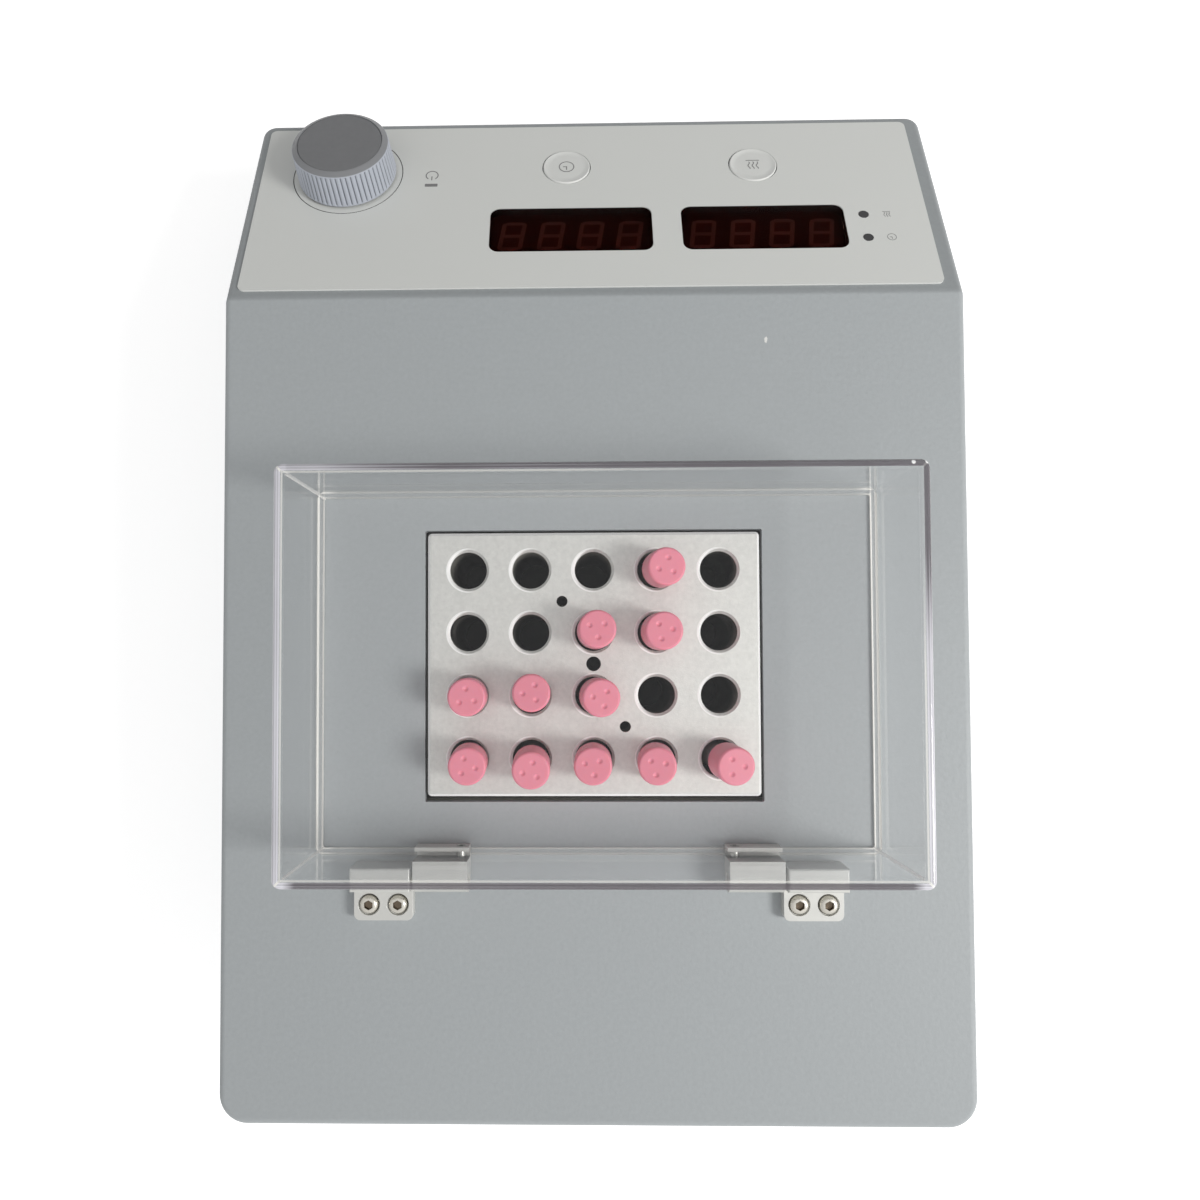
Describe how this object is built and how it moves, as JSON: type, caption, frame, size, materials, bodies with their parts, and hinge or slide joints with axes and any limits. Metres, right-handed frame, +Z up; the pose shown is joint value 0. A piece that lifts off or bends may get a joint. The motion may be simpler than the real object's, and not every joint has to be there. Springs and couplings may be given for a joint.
{
  "type": "dry bath incubator",
  "caption": "Bench dry bath: sloped control panel with a knob, buttons and displays, a lift-out heated block with wells for capped vials, and a clear hinged lid.",
  "frame": {"origin": "on the bench, under the middle of the instrument's outline", "axes": "+Z up, -Y to the front with the control panel, +X to the right of someone who stands in front"},
  "size_m": [0.216, 0.3144, 0.1205],
  "materials": {
    "casing_paint": "satin, light blue-grey, fine texture",
    "base_metal": "satin",
    "foot_rubber": "matt",
    "screw_steel": "satin",
    "bracket_screw_steel": "satin",
    "overlay": "satin, printed",
    "smoked_window": "gloss, smoked dark red-brown",
    "display_body": "matt",
    "lamp": "gloss, dark when off",
    "circuit_board": "satin",
    "encoder_metal": "satin",
    "black_plastic": "matt",
    "knob_plastic": "satin, light grey",
    "knob_disc": "satin, darker grey",
    "button_plastic": "satin",
    "tray_steel": "satin",
    "insulation": "matt, fibrous",
    "aluminium": "bead-blasted",
    "heater_film": "matt silicone",
    "sensor_steel": "satin",
    "cutout_case": "matt",
    "clear_acrylic": "clear, polished",
    "hinge_metal": "satin",
    "transformer_core": "satin",
    "contact_brass": "polished",
    "lead_jacket": "matt",
    "ribbon_grey": "matt",
    "vial_plastic": "satin, pink caps on frosted tubes"
  },
  "bodies": {
    "housing": {"upper_casing": "casing_paint", "base_plate": "base_metal", "rubber_feet": "foot_rubber", "base_screws": "screw_steel", "inner_screws": "screw_steel", "panel_overlay": "overlay", "knob_seat": "overlay", "timer_window": "smoked_window", "heat_window": "smoked_window", "timer_digits": "display_body", "heat_digits": "display_body", "indicator_leds": "lamp", "control_board": "circuit_board", "encoder_body": "encoder_metal", "encoder_nut": "encoder_metal", "tact_switches": "black_plastic", "block_tray": "tray_steel", "insulation_jacket": "insulation", "heater_plate": "aluminium", "heating_film": "heater_film", "insulation_pad": "insulation", "heater_screws": "screw_steel", "temperature_sensor": "sensor_steel", "thermal_cutout": "cutout_case", "hinge_bracket_right": "hinge_metal", "hinge_bracket_left": "hinge_metal", "bracket_screws": "bracket_screw_steel", "hinge_pins": "bracket_screw_steel", "power_board": "circuit_board", "power_transformer": "transformer_core", "power_inlet": "black_plastic", "inlet_contacts": "contact_brass", "fuse_drawer": "black_plastic", "inlet_screws": "screw_steel", "mains_leads": "lead_jacket", "heater_leads": "lead_jacket", "display_ribbon": "ribbon_grey"},
    "plunger": {"encoder_plunger": "black_plastic"},
    "knob": {"encoder_shaft": "encoder_metal", "knob_body": "knob_plastic", "knob_cap": "knob_disc"},
    "timer_key": {"timer_button": "button_plastic"},
    "heat_key": {"heat_button": "button_plastic"},
    "lid": {"lid_cover": "clear_acrylic", "lid_leaf_right": "hinge_metal", "lid_leaf_left": "hinge_metal", "lid_screws": "screw_steel"},
    "block": {"heating_block": "aluminium"},
    "vial_01_body": {"vial_01": "vial_plastic"},
    "vial_02_body": {"vial_02": "vial_plastic"},
    "vial_03_body": {"vial_03": "vial_plastic"},
    "vial_04_body": {"vial_04": "vial_plastic"},
    "vial_05_body": {"vial_05": "vial_plastic"},
    "vial_06_body": {"vial_06": "vial_plastic"},
    "vial_07_body": {"vial_07": "vial_plastic"},
    "vial_08_body": {"vial_08": "vial_plastic"},
    "vial_09_body": {"vial_09": "vial_plastic"},
    "vial_10_body": {"vial_10": "vial_plastic"},
    "vial_11_body": {"vial_11": "vial_plastic"}
  },
  "joints": [
    {"name": "knob_push", "type": "slide", "parent": "housing", "child": "plunger", "axis": [0, 0.3778, -0.9259], "range_m": [0, 0.0005], "stiffness_N_per_m": 4000, "springref_m": -0.0006},
    {"name": "knob_turn", "type": "hinge", "parent": "plunger", "child": "knob", "pos_m": [0.0768, -0.13398, 0.06528], "axis": [0, -0.3778, 0.9259], "continuous": true},
    {"name": "timer_press", "type": "slide", "parent": "housing", "child": "timer_key", "axis": [0, 0.3778, -0.9259], "range_m": [0, 0.0005], "stiffness_N_per_m": 2500, "springref_m": -0.0004},
    {"name": "heat_press", "type": "slide", "parent": "housing", "child": "heat_key", "axis": [0, 0.3778, -0.9259], "range_m": [0, 0.0005], "stiffness_N_per_m": 2500, "springref_m": -0.0004},
    {"name": "lid_hinge", "type": "hinge", "parent": "housing", "child": "lid", "pos_m": [-0.0008, 0.08105, 0.0894], "axis": [-1, 0, 0], "range_deg": [0, 104]},
    {"name": "block_lift", "type": "slide", "parent": "housing", "child": "block", "axis": [0, 0, 1], "range_m": [0, 0.018]},
    {"name": "vial_01_lift", "type": "slide", "parent": "block", "child": "vial_01_body", "axis": [-0.0819, 0.0139, 0.9965], "range_m": [0, 0.018]},
    {"name": "vial_02_lift", "type": "slide", "parent": "block", "child": "vial_02_body", "axis": [-0.0366, -0.0314, 0.9988], "range_m": [0, 0.018]},
    {"name": "vial_03_lift", "type": "slide", "parent": "block", "child": "vial_03_body", "axis": [-0.0454, -0.0052, 0.999], "range_m": [0, 0.018]},
    {"name": "vial_04_lift", "type": "slide", "parent": "block", "child": "vial_04_body", "axis": [-0.0454, -0.0052, 0.999], "range_m": [0, 0.018]},
    {"name": "vial_05_lift", "type": "slide", "parent": "block", "child": "vial_05_body", "axis": [-0.0314, -0.0593, 0.9977], "range_m": [0, 0.018]},
    {"name": "vial_06_lift", "type": "slide", "parent": "block", "child": "vial_06_body", "axis": [-0.0819, 0.0087, 0.9966], "range_m": [0, 0.018]},
    {"name": "vial_07_lift", "type": "slide", "parent": "block", "child": "vial_07_body", "axis": [-0.0506, 0.0314, 0.9982], "range_m": [0, 0.018]},
    {"name": "vial_08_lift", "type": "slide", "parent": "block", "child": "vial_08_body", "axis": [-0.0226, 0.0854, 0.9961], "range_m": [0, 0.018]},
    {"name": "vial_09_lift", "type": "slide", "parent": "block", "child": "vial_09_body", "axis": [0.0279, 0.0314, 0.9991], "range_m": [0, 0.018]},
    {"name": "vial_10_lift", "type": "slide", "parent": "block", "child": "vial_10_body", "axis": [0.0506, 0.0314, 0.9982], "range_m": [0, 0.018]},
    {"name": "vial_11_lift", "type": "slide", "parent": "block", "child": "vial_11_body", "axis": [-0.0993, 0.0365, 0.9944], "range_m": [0, 0.018]}
  ]
}
